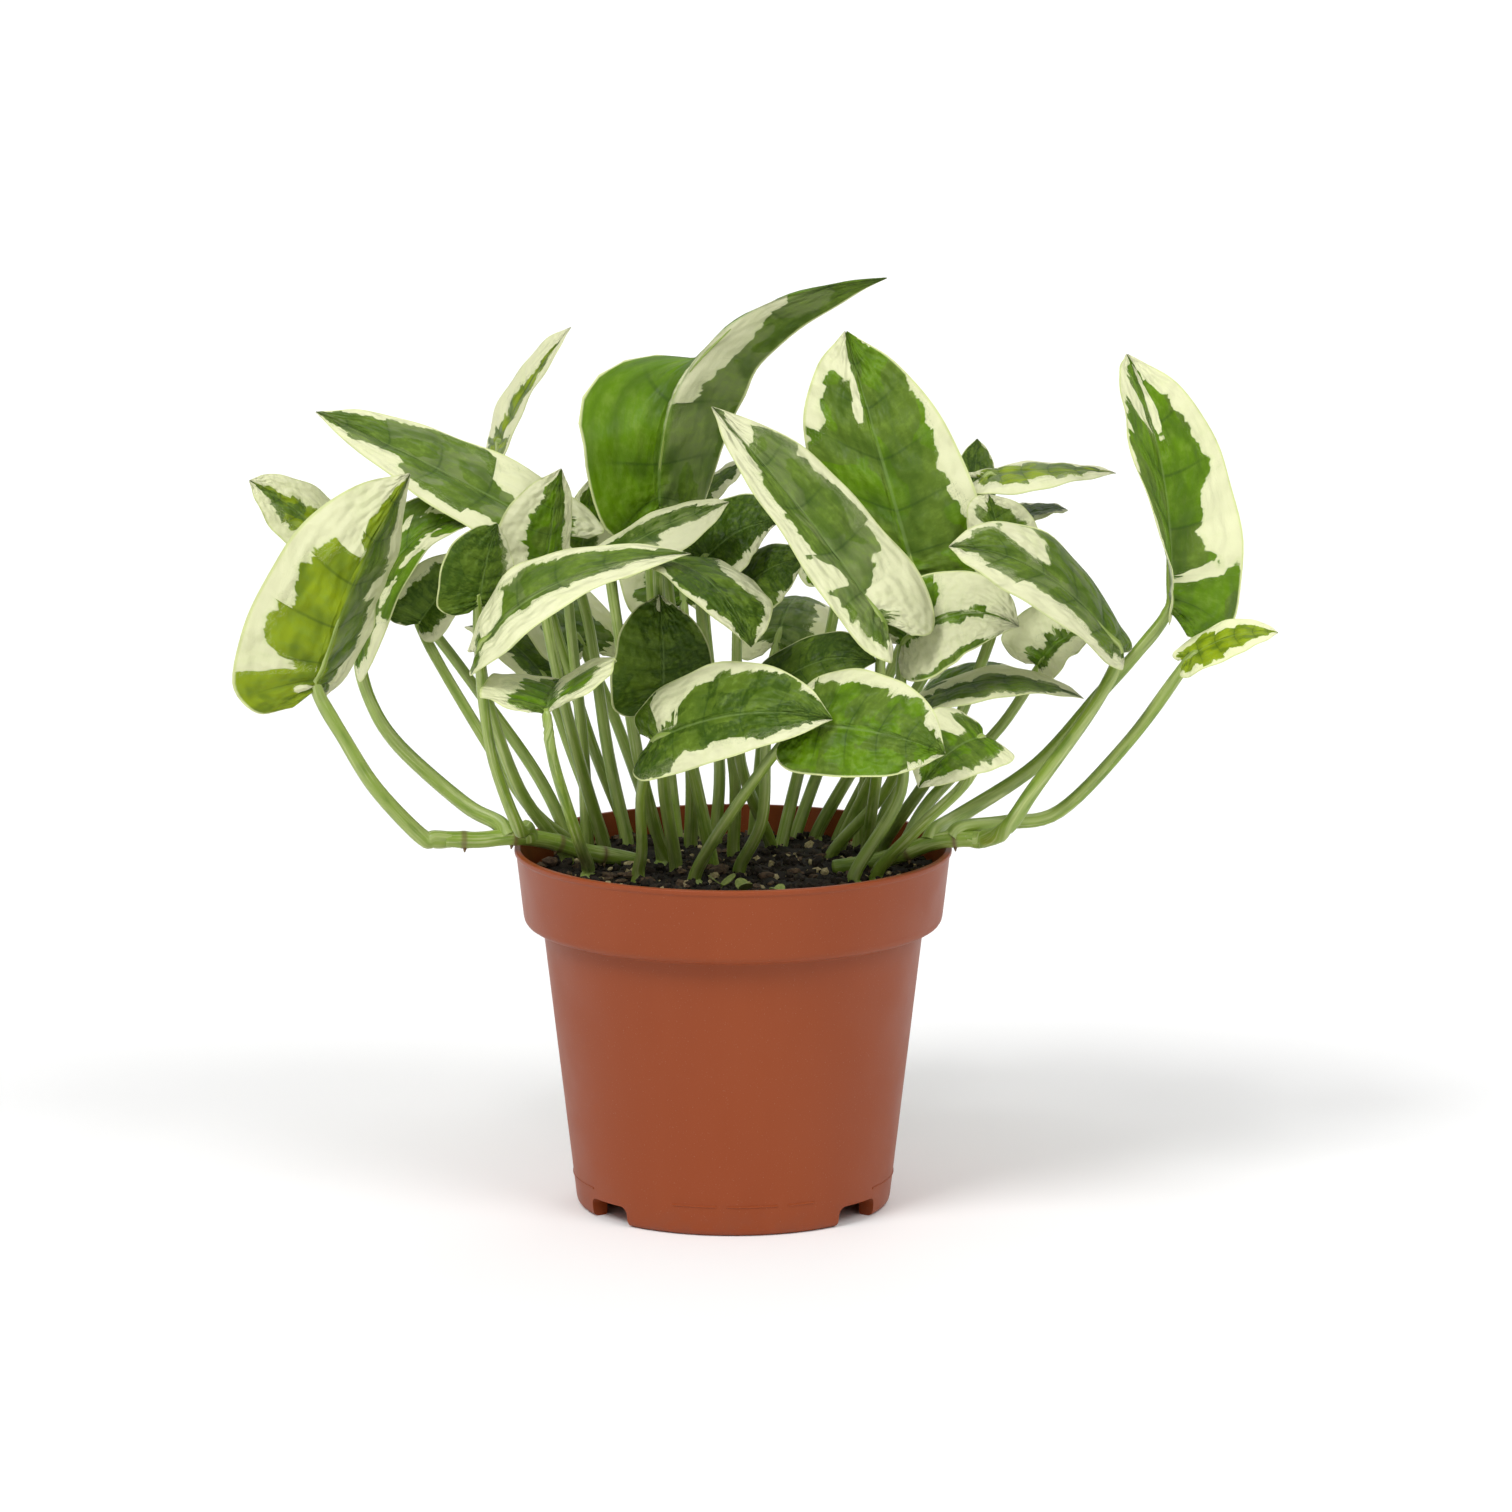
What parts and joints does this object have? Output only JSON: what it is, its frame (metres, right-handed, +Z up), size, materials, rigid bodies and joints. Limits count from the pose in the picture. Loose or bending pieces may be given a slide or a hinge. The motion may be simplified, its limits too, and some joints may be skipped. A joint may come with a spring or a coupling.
{
  "type": "potted pothos plant",
  "caption": "Houseplant with green and cream variegated heart-shaped leaves on long stalks, in a round tapered plastic nursery pot with a rim band, filled with dark soil",
  "frame": {"origin": "centre of the pot's underside, on the surface that the pot stands on", "axes": "+Z is up along the pot's axis, +X is to the right and +Y is to the back of the plant as seen from its front"},
  "size_m": [0.2847, 0.1719, 0.2543],
  "materials": {
    "terracotta_plastic": "satin injection-moulded polypropylene, terracotta colour",
    "potting_soil": "rough dark peat with white perlite grains",
    "green_stem": "smooth waxy light green",
    "variegated_leaf": "soft satin sheen, green patches on cream"
  },
  "bodies": {
    "root": {"pot": "terracotta_plastic", "soil": "potting_soil", "stem_left": "green_stem", "stem_right": "green_stem", "leaf_01": "variegated_leaf", "leaf_02": "variegated_leaf", "leaf_03": "variegated_leaf", "leaf_04": "variegated_leaf", "leaf_05": "variegated_leaf", "leaf_06": "variegated_leaf", "leaf_07": "variegated_leaf", "leaf_08": "variegated_leaf", "leaf_09": "variegated_leaf", "leaf_10": "variegated_leaf", "leaf_11": "variegated_leaf", "leaf_12": "variegated_leaf", "leaf_13": "variegated_leaf", "leaf_14": "variegated_leaf", "leaf_15": "variegated_leaf", "leaf_16": "variegated_leaf", "leaf_17": "variegated_leaf", "leaf_18": "variegated_leaf", "leaf_19": "variegated_leaf", "leaf_20": "variegated_leaf", "leaf_21": "variegated_leaf", "leaf_22": "variegated_leaf", "leaf_23": "variegated_leaf", "leaf_24": "variegated_leaf", "leaf_25": "variegated_leaf", "leaf_26": "variegated_leaf", "leaf_27": "variegated_leaf", "leaf_28": "variegated_leaf", "leaf_29": "variegated_leaf", "leaf_30": "variegated_leaf", "leaf_31": "variegated_leaf", "leaf_32": "variegated_leaf", "leaf_33": "variegated_leaf", "leaf_34": "variegated_leaf", "leaf_35": "variegated_leaf", "leaf_36": "variegated_leaf", "leaf_37": "variegated_leaf", "leaf_38": "variegated_leaf", "leaf_39": "variegated_leaf", "leaf_40": "variegated_leaf", "leaf_41": "variegated_leaf", "leaf_42": "variegated_leaf"}
  },
  "joints": []
}
